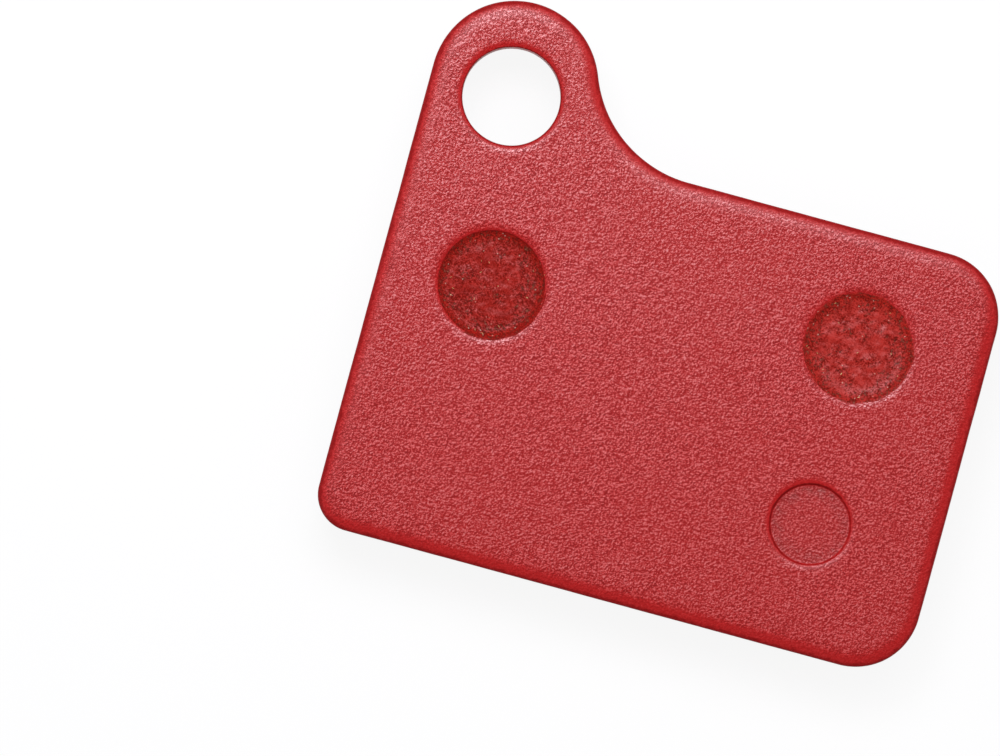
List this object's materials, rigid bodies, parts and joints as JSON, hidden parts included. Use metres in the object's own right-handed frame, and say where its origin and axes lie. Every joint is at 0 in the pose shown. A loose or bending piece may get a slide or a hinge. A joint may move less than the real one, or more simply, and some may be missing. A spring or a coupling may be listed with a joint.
{
  "type": "bicycle disc brake pad",
  "caption": "Flat disc brake pad: a red coated steel back plate with a retaining-pin ear and a friction block moulded through its keying holes, pressed on the rotor by a caliper piston.",
  "frame": {"origin": "the middle of the plate's rectangular body, on the friction face that meets the rotor", "axes": "+X along the body away from the ear, +Y towards the ear, +Z from the rotor towards the piston"},
  "size_m": [0.03, 0.0273, 0.004],
  "materials": {
    "plate_coat": "satin",
    "friction_compound": "matte"
  },
  "bodies": {
    "root": {"back_plate": "plate_coat", "friction_block": "friction_compound"}
  },
  "joints": []
}
